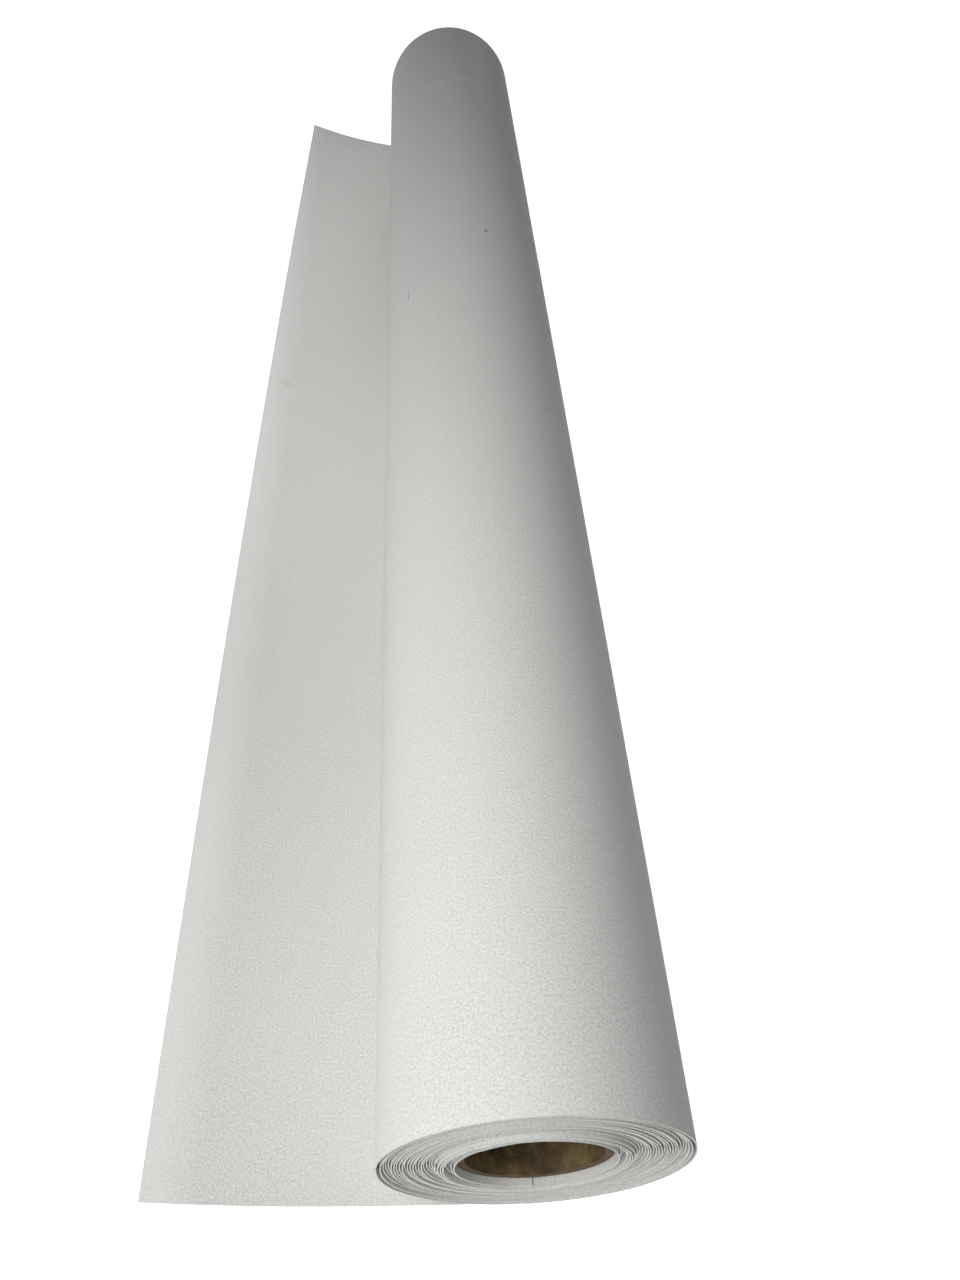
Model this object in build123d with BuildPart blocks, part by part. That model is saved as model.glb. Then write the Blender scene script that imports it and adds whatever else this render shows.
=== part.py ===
"""Backdrop paper roll: one long sheet wound on a board core, with its free end let down.

The roll lies along Y with its core's centre at the origin. The sheet is wound inwards
anticlockwise as seen from the -Y end. Its free end, the tail, runs towards -X and curls up
off the surface that the roll lies on, which is at -Z.
"""
import os
from math import cos, degrees, radians, sin

from build123d import *

# The sheet and the roll, in millimetres
sheet_width = 1350.0
sheet_thickness = 0.6
roll_diameter = 158.0
tail_length = 206.0

# The spiral-wound board core
core_length = 1350.0
core_bore_diameter = 70.0
liner_thickness = 0.5
body_ply_thickness = 0.6
body_ply_count = 5
wrap_thickness = 0.5
paste_line = 0.03

# Double-sided tapes that hold the sheet's first turn to the core
tape_thickness = 0.2
tape_width = 24.0
tape_length = 60.0
tape_count = 3
tape_end_margin = 120.0
tape_film = 0.05

# How the sheet is wound: whole turns in each group, and how far the group stands along Y
turn_groups = {
    "inner_turns": (8, -4.0),
    "inner_middle_turns": (8, -1.8),
    "outer_middle_turns": (8, -2.5),
    "outer_turns": (4, -2.0),
}
last_turn_shift = -4.2

# The tail moves as hinged strips, and at rest it curls up off the surface by the same
# angle at each hinge
tail_strip_count = 10
tail_rest_angle = 2.25

# Clearances
turning_clearance = 0.3
tail_clearance = 0.4
cut_clearance = 0.3

# Derived sizes
roll_radius = roll_diameter / 2
bore_radius = core_bore_diameter / 2
last_turn_step = sheet_thickness + tail_clearance
wound_radius = roll_radius - last_turn_step - sheet_thickness - turning_clearance
tail_strip = tail_length / (tail_strip_count + 0.5)


def end_plane(length, shift=0.0):
    """The plane of the -Y end of a piece of this length, whose middle stands at Y = shift."""
    return Plane.XZ.offset(length / 2 - shift)


def tube(inner_radius, thickness):
    """A plain tube as long as the core."""
    with BuildPart() as wall:
        with BuildSketch(end_plane(core_length)):
            Circle(inner_radius + thickness)
            Circle(inner_radius, mode=Mode.SUBTRACT)
        extrude(amount=-core_length)
    return wall


def write(piece, name):
    """Label a finished piece and write its STEP file."""
    piece.part.label = name
    export_step(piece.part, f"parts/{name}.step")


def cut_angle(radius):
    """The angle that the cut between two lengths of sheet takes at this radius."""
    return degrees(cut_clearance / radius)


os.makedirs("parts", exist_ok=True)

# Core: a liner, body plies and an outer wrap, each a tube around the one before
core_liner = tube(bore_radius, liner_thickness)
write(core_liner, "core_liner")
ply_radius = bore_radius + liner_thickness + paste_line
for ply_number in range(1, body_ply_count + 1):
    core_ply = tube(ply_radius, body_ply_thickness)
    write(core_ply, f"core_ply_{ply_number}")
    ply_radius += body_ply_thickness + paste_line
core_wrap = tube(ply_radius, wrap_thickness)
write(core_wrap, "core_wrap")
core_radius = ply_radius + wrap_thickness

# Tapes: short arcs on the core, spread along it, just inside the sheet's first edge
tape_inner_radius = core_radius + tape_film
tape_outer_radius = tape_inner_radius + tape_thickness
first_turn_radius = tape_outer_radius + tape_film
tape_angle = degrees(tape_width / tape_outer_radius)
tape_start = 270 - cut_angle(first_turn_radius) - tape_angle
tape_spacing = (sheet_width - 2 * tape_end_margin) / (tape_count - 1)
with BuildPart() as start_tapes:
    for tape_number in range(tape_count):
        tape_middle = (tape_number - (tape_count - 1) / 2) * tape_spacing
        with BuildSketch(end_plane(tape_length, tape_middle)):
            with BuildLine():
                tape_face = CenterArc((0, 0), tape_outer_radius, tape_start, tape_angle)
                tape_back = CenterArc((0, 0), tape_inner_radius, tape_start, tape_angle)
                Line(tape_face @ 0, tape_back @ 0)
                Line(tape_face @ 1, tape_back @ 1)
            make_face()
        extrude(amount=-tape_length)
write(start_tapes, "start_tapes")

# Wound turns: each turn is a left half about the core's axis and a right half about a
# centre half a step lower, so that the sheet runs on without a kink
turn_total = sum(turns for turns, shift in turn_groups.values())
turn_step = (wound_radius - sheet_thickness - first_turn_radius) / turn_total
right_centre = (0, -turn_step / 2)
next_radius = first_turn_radius
for group_name, (turns, shift) in turn_groups.items():
    with BuildPart() as wound_turns:
        with BuildSketch(end_plane(sheet_width, shift)):
            with BuildLine():
                cut = cut_angle(next_radius)
                for turn in range(turns):
                    inner = next_radius + turn * turn_step
                    outer = inner + sheet_thickness
                    opening = cut if turn == 0 else 0
                    inner_left = CenterArc((0, 0), inner, 90, 180 - opening)
                    outer_left = CenterArc((0, 0), outer, 90, 180 - opening)
                    inner_right = CenterArc(right_centre, inner + turn_step / 2, -90, 180)
                    outer_right = CenterArc(right_centre, outer + turn_step / 2, -90, 180)
                    if turn == 0:
                        Line(inner_left @ 1, outer_left @ 1)
                Line(inner_right @ 0, outer_right @ 0)
            make_face()
        extrude(amount=-sheet_width)
    write(wound_turns, group_name)
    next_radius += turns * turn_step

# Last turn: one more turn, which reaches the surface below and starts the tail
last_inner_left = roll_radius - last_turn_step - sheet_thickness
last_outer_left = last_inner_left + sheet_thickness
last_centre = (0, -last_turn_step / 2)
tail_root = -(tail_strip - cut_clearance) / 2
with BuildPart() as last_turn:
    with BuildSketch(end_plane(sheet_width, last_turn_shift)):
        with BuildLine():
            left_angle = 180 - cut_angle(last_inner_left)
            inner_left = CenterArc((0, 0), last_inner_left, 90, left_angle)
            outer_left = CenterArc((0, 0), last_outer_left, 90, left_angle)
            Line(inner_left @ 1, outer_left @ 1)
            half_step = last_turn_step / 2
            inner_right = CenterArc(last_centre, last_inner_left + half_step, -90, 180)
            outer_right = CenterArc(last_centre, last_outer_left + half_step, -90, 180)
            top = Line(inner_right @ 0, (tail_root, (inner_right @ 0).Y))
            underside = Line(outer_right @ 0, (tail_root, (outer_right @ 0).Y))
            Line(top @ 1, underside @ 1)
        make_face()
    extrude(amount=-sheet_width)
write(last_turn, "last_turn")

# Tail: equal strips in a row, each hinged to the one before at half its thickness and
# turned up a little more than it, so that together they follow an even curve
hinge_x = -tail_strip / 2
hinge_z = -roll_radius + sheet_thickness / 2
for strip_number in range(1, tail_strip_count + 1):
    slope = strip_number * tail_rest_angle
    is_last = strip_number == tail_strip_count
    start = cut_clearance / 2
    end = tail_strip if is_last else tail_strip - cut_clearance / 2
    middle = (start + end) / 2
    middle_x = hinge_x - middle * cos(radians(slope))
    middle_z = hinge_z + middle * sin(radians(slope))
    with BuildPart() as tail_strip_piece:
        with BuildSketch(end_plane(sheet_width, last_turn_shift)):
            with Locations((middle_x, middle_z)):
                Rectangle(end - start, sheet_thickness, rotation=-slope)
        extrude(amount=-sheet_width)
    write(tail_strip_piece, f"tail_strip_{strip_number:02d}")
    hinge_x -= tail_strip * cos(radians(slope))
    hinge_z += tail_strip * sin(radians(slope))
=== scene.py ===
"""Backdrop paper roll: its looks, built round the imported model.

The sheet is cut flat, wound on the core or let down as the tail, and only then given its
thickness. The core is wound from ribbons of board, one ply over another.
"""
from math import cos, exp, pi, radians, sin, tau

import bmesh
import bpy
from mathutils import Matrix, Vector, noise


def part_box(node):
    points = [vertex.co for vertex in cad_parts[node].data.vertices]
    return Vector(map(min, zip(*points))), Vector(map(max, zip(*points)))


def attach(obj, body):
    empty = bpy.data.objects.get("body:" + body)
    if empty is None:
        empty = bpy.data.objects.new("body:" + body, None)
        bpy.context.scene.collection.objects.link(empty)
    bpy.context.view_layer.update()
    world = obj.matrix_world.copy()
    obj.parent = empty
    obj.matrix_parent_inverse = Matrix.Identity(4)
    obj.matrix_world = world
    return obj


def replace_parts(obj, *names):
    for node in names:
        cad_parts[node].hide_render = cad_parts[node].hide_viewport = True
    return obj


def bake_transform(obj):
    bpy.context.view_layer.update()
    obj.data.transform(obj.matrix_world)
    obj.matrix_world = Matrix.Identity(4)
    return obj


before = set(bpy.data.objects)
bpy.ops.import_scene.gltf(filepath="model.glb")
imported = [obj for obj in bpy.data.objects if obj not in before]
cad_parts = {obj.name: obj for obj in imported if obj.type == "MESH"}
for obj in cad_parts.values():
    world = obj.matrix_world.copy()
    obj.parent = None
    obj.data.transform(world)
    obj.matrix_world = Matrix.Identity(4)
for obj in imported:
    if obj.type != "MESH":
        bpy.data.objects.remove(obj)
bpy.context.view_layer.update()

MM = 0.001

# The sheet
sheet_width = 1350 * MM
sheet_thickness = 0.6 * MM
roll_radius = -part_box("last_turn")[0].z

# Each length of the wound sheet: its CAD node, its body, its whole turns, and the columns
# and rows of faces that it is cut into
wound_lengths = [
    ("inner_turns", "core", 8, 768, 2),
    ("inner_middle_turns", "inner_middle", 8, 768, 2),
    ("outer_middle_turns", "outer_middle", 8, 768, 2),
    ("outer_turns", "outer_wound", 4, 448, 2),
    ("last_turn", "last", 1, 144, 72),
]

# How far each turn stands out of the near end of the roll, innermost first, in millimetres
standing_out = [
    3.8, 3.7, 0.2, 0.4, 4.4, 4.4, 4.3, 3.2,
    1.2, 0.8, 0.8, 1.5, 2.6, 2.6, 1.6, 3.0,
    2.6, 2.6, 1.4, 3.2, 2.6, 2.4, 2.6, 3.2,
    1.4, 1.0, 1.8, 3.4,
    3.8, 3.8, 3.8,
]
edge_waver = 0.25 * MM
edge_waver_per_turn = 2.3
turn_looseness = 0.14 * MM
turns_between_loose_ones = 3.4
last_turn_ripple = 0.35 * MM
last_turn_ripples_across = 9

# The tail: its strips in the CAD model, and the curve that it takes beside the roll
tail_strips = 10
tail_columns = 8
tail_rows = 72
last_strip_share = 1.5
tail_strip = 206 * MM / (tail_strips + last_strip_share - 1)
tail_curl_radius = 505 * MM
tail_length = 201.2 * MM
tail_longer_near = 6.9 * MM
tail_longer_midway = 4.1 * MM
tail_set_back = 1.8 * MM
tail_set_back_over = 30 * MM
tail_ripple = 1.6 * MM
tail_ripples_across = 5.5
tail_ripples_per_metre = 9

# The core's plies, from the bore outwards, with their thicknesses in millimetres, and how
# wide their ribbons lie along the core
bore_radius = 35 * MM
plies = {
    "core_liner": 0.5,
    "core_ply_1": 0.6,
    "core_ply_2": 0.6,
    "core_ply_3": 0.6,
    "core_ply_4": 0.6,
    "core_ply_5": 0.6,
    "core_wrap": 0.5,
}
paste_line = 0.03 * MM
ribbon_pitch = 145 * MM
ribbon_seam = 0.2 * MM
ribbon_steps_per_turn = 72
ribbon_start_offset = 0.37
spare_ribbon_turns = 3

# An edge sharper than this, in degrees, stays crisp
crisp_edge = 35

# The floor, the room and the camera
floor_size = 12
floor_gap = 0.3 * MM
room_glow = 0.07
camera_place = (-0.034049, -0.808352, 0.537674)
camera_lens = 28.22
camera_sensor = 36
camera_down = 0.8492
camera_turn = -0.0519


# ---------------------------------------------------------------- materials

class Value:
    """A socket that can be reckoned with: each operation adds its Math node."""

    def __init__(self, finish, socket):
        self.finish = finish
        self.socket = socket

    def reckon(self, operation, first, second):
        return self.finish.add("ShaderNodeMath", {"operation": operation}, {0: first, 1: second})

    def __add__(self, other):
        return self.reckon("ADD", self, other)

    def __radd__(self, other):
        return self.reckon("ADD", other, self)

    def __sub__(self, other):
        return self.reckon("SUBTRACT", self, other)

    def __rsub__(self, other):
        return self.reckon("SUBTRACT", other, self)

    def __mul__(self, other):
        return self.reckon("MULTIPLY", self, other)

    def __rmul__(self, other):
        return self.reckon("MULTIPLY", other, self)


class Finish:
    """A material being made up, with one method that adds any node to it."""

    def __init__(self, name):
        self.material = bpy.data.materials.new(name)
        self.material.use_nodes = True
        self.tree = self.material.node_tree
        self.shader = self.tree.nodes["Principled BSDF"]

    def add(self, kind, settings=None, inputs=None, output=0):
        node = self.tree.nodes.new(kind)
        for name, setting in (settings or {}).items():
            setattr(node, name, setting)
        self.fill(node, inputs or {})
        return Value(self, node.outputs[output])

    def fill(self, node, inputs):
        for name, value in inputs.items():
            if isinstance(value, Value):
                self.tree.links.new(value.socket, node.inputs[name])
            else:
                node.inputs[name].default_value = value

    def place(self, attribute=None):
        """Where a point is: on the object, or at its place on the flat sheet."""
        if attribute:
            return self.add("ShaderNodeAttribute", {"attribute_name": attribute}, output="Vector")
        return self.add("ShaderNodeTexCoord", output="Object")

    def stretched(self, place, scale):
        return self.add("ShaderNodeMapping", inputs={"Vector": place, "Scale": scale})

    def noise(self, place, scale, detail=2.0, roughness=0.5):
        sizes = {"Vector": place, "Scale": scale, "Detail": detail, "Roughness": roughness}
        return self.add("ShaderNodeTexNoise", inputs=sizes)

    def between(self, value, low, high):
        """0 below low and 1 above high, with an even slope between."""
        return self.add("ShaderNodeMapRange", {"clamp": True}, {"Value": value, 1: low, 2: high})

    def colour_mix(self, factor, first, second):
        colours = {0: factor, 6: first, 7: second}
        return self.add("ShaderNodeMix", {"data_type": "RGBA"}, colours, output=2)

    def mark(self, place, centre, stretch, size):
        """A soft-edged mark of this size round a point, drawn out by stretching the place."""
        away = self.add("ShaderNodeVectorMath", {"operation": "SUBTRACT"}, {0: place, 1: centre})
        drawn = self.add("ShaderNodeVectorMath", {"operation": "MULTIPLY"}, {0: away, 1: stretch})
        length = self.add("ShaderNodeVectorMath", {"operation": "LENGTH"}, {0: drawn}, output="Value")
        return 1 - self.between(length, 0.4 * size, size)

    def bump(self, height, distance, strength=1.0, normal=None):
        inputs = {"Height": height, "Distance": distance, "Strength": strength}
        if normal:
            inputs["Normal"] = normal
        return self.add("ShaderNodeBump", inputs=inputs)


def embossed_paper():
    """Matte white paper with a fine embossed grain and the few marks of a used sheet, with painted
    light: a paler band along the tail's free edge and a painted highlight streak near the far end.
    """
    finish = Finish("embossed_paper")
    place = finish.place("flat_place")
    grain = finish.noise(place, 740, 2.0, 0.6)
    fibre = finish.noise(finish.stretched(place, (1.0, 0.6, 1.0)), 1700, 3.0, 0.6)
    cloud = finish.noise(place, 9, 3.0, 0.5)
    tone = finish.between(grain * 0.7 + fibre * 0.3, 0.36, 0.64)
    paper = finish.colour_mix(tone, (0.65, 0.66, 0.635, 1), (0.885, 0.892, 0.868, 1))
    paper = finish.colour_mix(finish.between(cloud, 0.35, 0.7) * 0.3, paper, (0.80, 0.80, 0.775, 1))
    # Painted light: the tail is made paler over its last 22 mm up to the free edge, for light showing
    # through the raised sheet.
    free_edge_painted_light = finish.between(finish.add("ShaderNodeSeparateXYZ", inputs={0: place}), 0.178, 0.2)
    paper = finish.colour_mix(free_edge_painted_light * 0.6, paper, (0.95, 0.95, 0.94, 1))
    speck = finish.mark(place, (-0.2255, 0.121, 0), (1.0, 0.7, 1.0), 0.0022)
    scuff = finish.mark(place, (-0.307, 0.044, 0), (1.6, 0.12, 1.0), 0.0016)
    stain = finish.mark(place, (0.187, 0.055, 0), (1.0, 0.8, 1.0), 0.0075)
    paper = finish.colour_mix(speck * 0.75, paper, (0.16, 0.15, 0.16, 1))
    paper = finish.colour_mix(scuff * fibre * 0.9, paper, (0.25, 0.25, 0.24, 1))
    paper = finish.colour_mix(stain * grain * 0.5, paper, (0.62, 0.55, 0.33, 1))
    # Painted highlight: a pale streak near the far end of the roll where a faint crease would catch the
    # light; the sheet's shape has no crease there.
    crease_highlight = finish.mark(place, (-0.262, 0.487, 0), (0.5, 1.0, 1.0), 0.011)
    fold_highlight = finish.mark(place, (-0.235, 0.503, 0), (0.55, 1.0, 1.0), 0.009)
    paper = finish.colour_mix((crease_highlight + fold_highlight) * 0.3, paper, (0.93, 0.93, 0.92, 1))
    surface = finish.bump(fibre, 0.05 * MM, 0.6)
    surface = finish.bump(grain, 0.45 * MM, 1.0, surface)
    finish.fill(finish.shader, {
        "Base Color": paper,
        "Roughness": 0.5 + grain * 0.2,
        "Normal": surface,
        "Specular IOR Level": 0.4,
    })
    return finish.material


def kraft_liner():
    """Smooth brown kraft, with long fibres along the ribbon and darker scuffed patches."""
    finish = Finish("kraft_liner")
    place = finish.place()
    fibre = finish.noise(finish.stretched(place, (1.0, 0.5, 1.0)), 420, 4.0, 0.65)
    patch = finish.noise(place, 55, 4.0, 0.65)
    fleck = finish.noise(place, 420, 2.0, 0.6)
    board = finish.colour_mix(fibre, (0.115, 0.078, 0.03, 1), (0.29, 0.205, 0.09, 1))
    board = finish.colour_mix(finish.between(patch, 0.40, 0.62) * 0.85, board, (0.05, 0.03, 0.018, 1))
    board = finish.colour_mix(finish.between(fleck, 0.66, 0.72) * 0.5, board, (0.34, 0.26, 0.14, 1))
    finish.fill(finish.shader, {
        "Base Color": board,
        "Roughness": 0.62 + fibre * 0.2,
        "Normal": finish.bump(fibre, 0.12 * MM, 0.7),
        "Specular IOR Level": 0.35,
    })
    return finish.material


def brown_board():
    """Recycled brown board, felted and flecked."""
    finish = Finish("brown_board")
    place = finish.place()
    felt = finish.noise(place, 700, 4.0, 0.7)
    fleck = finish.noise(place, 330, 2.0, 0.5)
    board = finish.colour_mix(felt, (0.085, 0.06, 0.034, 1), (0.17, 0.125, 0.072, 1))
    board = finish.colour_mix(finish.between(fleck, 0.64, 0.7) * 0.6, board, (0.05, 0.035, 0.022, 1))
    finish.fill(finish.shader, {
        "Base Color": board,
        "Roughness": 0.8 + felt * 0.15,
        "Normal": finish.bump(felt, 0.15 * MM, 0.9),
        "Specular IOR Level": 0.25,
    })
    return finish.material


def cloudy_tape():
    """Thin translucent tape, milky and a little uneven."""
    finish = Finish("cloudy_tape")
    cloud = finish.noise(finish.place(), 160, 3.0, 0.6)
    finish.fill(finish.shader, {
        "Base Color": finish.colour_mix(cloud, (0.74, 0.71, 0.6, 1), (0.86, 0.84, 0.76, 1)),
        "Roughness": 0.3 + cloud * 0.2,
        "Normal": finish.bump(cloud, 0.05 * MM, 0.4),
    })
    return finish.material


def pale_floor():
    """Plain, pale and matte. It is pure white to look at, but lights the roll with less."""
    finish = Finish("pale_floor")
    seen = finish.add("ShaderNodeLightPath", output="Is Camera Ray")
    tone = finish.noise(finish.place(), 3, 2.0, 0.5)
    finish.fill(finish.shader, {
        "Base Color": finish.colour_mix(tone, (0.86, 0.86, 0.86, 1), (0.88, 0.88, 0.875, 1)),
        "Roughness": 0.9,
        "Specular IOR Level": 0.1,
        "Emission Color": finish.colour_mix(seen, (0.3, 0.3, 0.3, 1), (1, 1, 1, 1)),
        "Emission Strength": 1.0,
    })
    return finish.material


# ---------------------------------------------------------------- pieces

def finished_piece(name, bm, material):
    """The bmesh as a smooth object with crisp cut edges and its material."""
    mesh = bpy.data.meshes.new(name)
    bm.to_mesh(mesh)
    bm.free()
    mesh.shade_smooth()
    mesh.set_sharp_from_angle(angle=radians(crisp_edge))
    mesh.materials.append(material)
    piece = bpy.data.objects.new(name, mesh)
    bpy.context.scene.collection.objects.link(piece)
    return piece


def cut_sheet(name, columns, rows, place, material):
    """A flat grid, put in place point by point, and then given the sheet's thickness.

    place(along, across) takes shares of the cut, 0 to 1 along it and -0.5 to 0.5 across.
    It gives the point, and the same point's place on the flat sheet.
    """
    bm = bmesh.new()
    bmesh.ops.create_grid(bm, x_segments=columns, y_segments=rows, size=0.5)
    flat_place = bm.verts.layers.float_vector.new("flat_place")
    for corner in bm.verts:
        corner.co, corner[flat_place] = place(corner.co.x + 0.5, corner.co.y)
    bmesh.ops.reverse_faces(bm, faces=bm.faces[:])
    bm.normal_update()
    bmesh.ops.solidify(bm, geom=bm.faces[:], thickness=sheet_thickness)
    return finished_piece(name, bm, material)


def wound_sheet(node, body, turns, columns, rows, first_turn, material):
    """One length of the sheet, wound evenly outwards from under the roll."""
    low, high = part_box(node)
    step = -(low.z + high.z)
    start_radius = -low.z - sheet_thickness - turns * step
    ripples = rows > 2
    total = tau * (start_radius * turns + step * turns ** 2 / 2)

    def place(along, across):
        turn = along * turns
        overall = first_turn + turn
        whole = int(overall)
        share = overall - whole
        out = standing_out[whole] * (1 - share) + standing_out[whole + 1] * share
        angle = tau * turn
        around = Vector((sin(angle), cos(angle), overall / turns_between_loose_ones))
        out = out * MM + edge_waver * noise.noise(around * edge_waver_per_turn)
        radius = start_radius + step * turn
        if ripples:
            settled = sin(pi * along)
            swell = 1 + noise.noise(Vector((across * last_turn_ripples_across, cos(angle), sin(angle))))
            radius += last_turn_ripple * settled * swell / 2
        else:
            slack = sin(tau * overall / turns_between_loose_ones)
            radius += turn_looseness * slack * sin(pi * along)
        point = Vector((-radius * sin(angle), across * sheet_width - out, -radius * cos(angle)))
        wound = tau * (start_radius * turn + step * turn ** 2 / 2)
        return point, Vector((wound - total, across * sheet_width, 0))

    piece = cut_sheet(f"{node}_of_sheet", columns, rows, place, material)
    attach(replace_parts(piece, node), body)
    return piece


def tail_arc(distance):
    """A point on the tail's even curl, this far from where the roll touches down, and its up."""
    angle = distance / tail_curl_radius
    up = Vector((sin(angle), 0, cos(angle)))
    middle = Vector((0, 0, tail_curl_radius - roll_radius + sheet_thickness))
    return middle - up * tail_curl_radius, up


def tail_sheet(number, material):
    """One strip of the tail, from the middle of a CAD strip to the middle of the next.

    The last one runs on to the free edge, which was cut a little askew and bowed.
    """
    is_last = number == tail_strips
    share = last_strip_share if is_last else 1
    columns = int(tail_columns * share)
    nearer = (number - 1) * tail_strip

    def place(along, across):
        side = 2 * across
        length = tail_strip
        if is_last:
            uneven = tail_longer_midway * (1 - side ** 2) - tail_longer_near * side
            length = tail_length + uneven - nearer
        distance = nearer + along * length
        point, up = tail_arc(distance)
        spot = Vector((across * tail_ripples_across, distance * tail_ripples_per_metre, 3.1))
        ripple = 0.6 + noise.noise(spot)
        point += up * ripple * tail_ripple * (distance / tail_length) ** 2
        set_back = tail_set_back * (1 - exp(-distance / tail_set_back_over))
        point.y = across * sheet_width - standing_out[-1] * MM + set_back
        return point, Vector((distance, across * sheet_width, 0))

    piece = cut_sheet(f"tail_of_sheet_{number:02d}", columns, tail_rows, place, material)
    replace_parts(piece, f"tail_strip_{number:02d}")
    start, end = tail_arc(nearer)[0], tail_arc(nearer + tail_strip)[0]
    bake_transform(piece)
    return piece


def board_ply(node, number, inner_radius, thickness, material):
    """A ribbon of board wound in a helix for the length of the core, and cut off square."""
    low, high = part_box(node)
    outer_radius = inner_radius + thickness
    turns = int((high.y - low.y) / ribbon_pitch) + spare_ribbon_turns
    start = low.y - ribbon_pitch * (1 + ribbon_start_offset * number % 1)
    bm = bmesh.new()
    ribbon = [
        bm.verts.new((0, start, -outer_radius)),
        bm.verts.new((0, start + ribbon_pitch - ribbon_seam, -outer_radius)),
    ]
    edge = bm.edges.new(ribbon)
    steps = ribbon_steps_per_turn * turns
    along = Vector((0, ribbon_pitch / ribbon_steps_per_turn, 0))
    bmesh.ops.spin(
        bm, geom=ribbon + [edge], cent=(0, 0, 0), axis=(0, 1, 0), dvec=along,
        angle=tau * turns, steps=steps, use_duplicate=False,
    )
    for y, outwards in ((low.y, -1), (high.y, 1)):
        bmesh.ops.bisect_plane(
            bm, geom=bm.verts[:] + bm.edges[:] + bm.faces[:], dist=0.001 * MM,
            plane_co=(0, y, 0), plane_no=(0, outwards, 0), clear_outer=True,
        )
    bmesh.ops.recalc_face_normals(bm, faces=bm.faces[:])
    bmesh.ops.solidify(bm, geom=bm.faces[:], thickness=thickness)
    piece = finished_piece(f"{node}_ribbon", bm, material)
    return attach(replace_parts(piece, node), "core")


# ---------------------------------------------------------------- the object

paper = embossed_paper()
first_turn = 0
for node, body, turns, columns, rows in wound_lengths:
    wound_sheet(node, body, turns, columns, rows, first_turn, paper)
    first_turn += turns
for number in range(1, tail_strips + 1):
    tail_sheet(number, paper)

liner_board = kraft_liner()
ply_board = brown_board()
inner_radius = bore_radius
for number, (node, thickness) in enumerate(plies.items()):
    is_liner = node == "core_liner"
    material = liner_board if is_liner else ply_board
    board_ply(node, number, inner_radius, thickness * MM, material)
    inner_radius += thickness * MM + paste_line

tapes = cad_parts["start_tapes"]
tapes.data.materials.clear()
tapes.data.materials.append(cloudy_tape())


# ---------------------------------------------------------------- floor, light and camera

bpy.ops.mesh.primitive_plane_add(size=floor_size, location=(0, 0, -roll_radius - floor_gap))
floor = bpy.context.object
floor.name = "floor"
floor.data.materials.append(pale_floor())


def soft_light(name, place, target, size, power, colour, spread=180):
    """An area light, as long along Y and as wide across it as its size says."""
    light = bpy.data.lights.new(name, "AREA")
    light.shape = "ELLIPSE"
    light.size, light.size_y = size
    light.energy = power
    light.color = colour
    light.spread = radians(spread)
    lamp = bpy.data.objects.new(name, light)
    lamp.location = place
    lamp.rotation_euler = (Vector(target) - Vector(place)).to_track_quat("-Z", "Y").to_euler()
    bpy.context.scene.collection.objects.link(lamp)


soft_light(
    "window", place=(-0.52, -0.80, 1.05), target=(-0.05, -0.4, 0),
    size=(1.0, 1.0), power=13.2, colour=(1.0, 0.998, 0.99),
)
soft_light(
    "skylight", place=(-0.25, 1.0, 1.6), target=(-0.05, 0.3, 0),
    size=(1.6, 1.6), power=0.35, colour=(0.97, 0.99, 1.0),
)
soft_light(
    "free_end_strip", place=(-0.42, 0.33, 0.95), target=(-0.19, 0.33, -0.05),
    size=(1.2, 0.08), power=0.14, colour=(1.0, 1.0, 1.0), spread=18,
)
soft_light(
    "front_fill", place=(-0.2, -1.6, 0.3), target=(0.0, -0.68, 0),
    size=(0.2, 0.2), power=0.07, colour=(1.0, 0.97, 0.92), spread=40,
)
soft_light(
    "back_fill", place=(0.1, 1.7, 0.0), target=(0.0, 0.68, 0),
    size=(0.3, 0.12), power=0.12, colour=(1.0, 1.0, 1.0), spread=40,
)

world = bpy.data.worlds.new("pale_room")
bpy.context.scene.world = world
world.use_nodes = True
world.node_tree.nodes["Background"].inputs["Color"].default_value = (0.93, 0.94, 0.95, 1)
seen = world.node_tree.nodes.new("ShaderNodeLightPath")
strength = world.node_tree.nodes.new("ShaderNodeMapRange")
strength.inputs["To Min"].default_value = room_glow
world.node_tree.links.new(seen.outputs["Is Camera Ray"], strength.inputs["Value"])
background = world.node_tree.nodes["Background"].inputs["Strength"]
world.node_tree.links.new(strength.outputs["Result"], background)
bpy.context.scene.view_settings.view_transform = "Standard"

camera_data = bpy.data.cameras.new("camera")
camera_data.sensor_width = camera_sensor
camera_data.lens = camera_lens
camera = bpy.data.objects.new("camera", camera_data)
camera.location = camera_place
camera.rotation_euler = (pi / 2 - camera_down, 0, camera_turn)
bpy.context.scene.collection.objects.link(camera)
bpy.context.scene.camera = camera
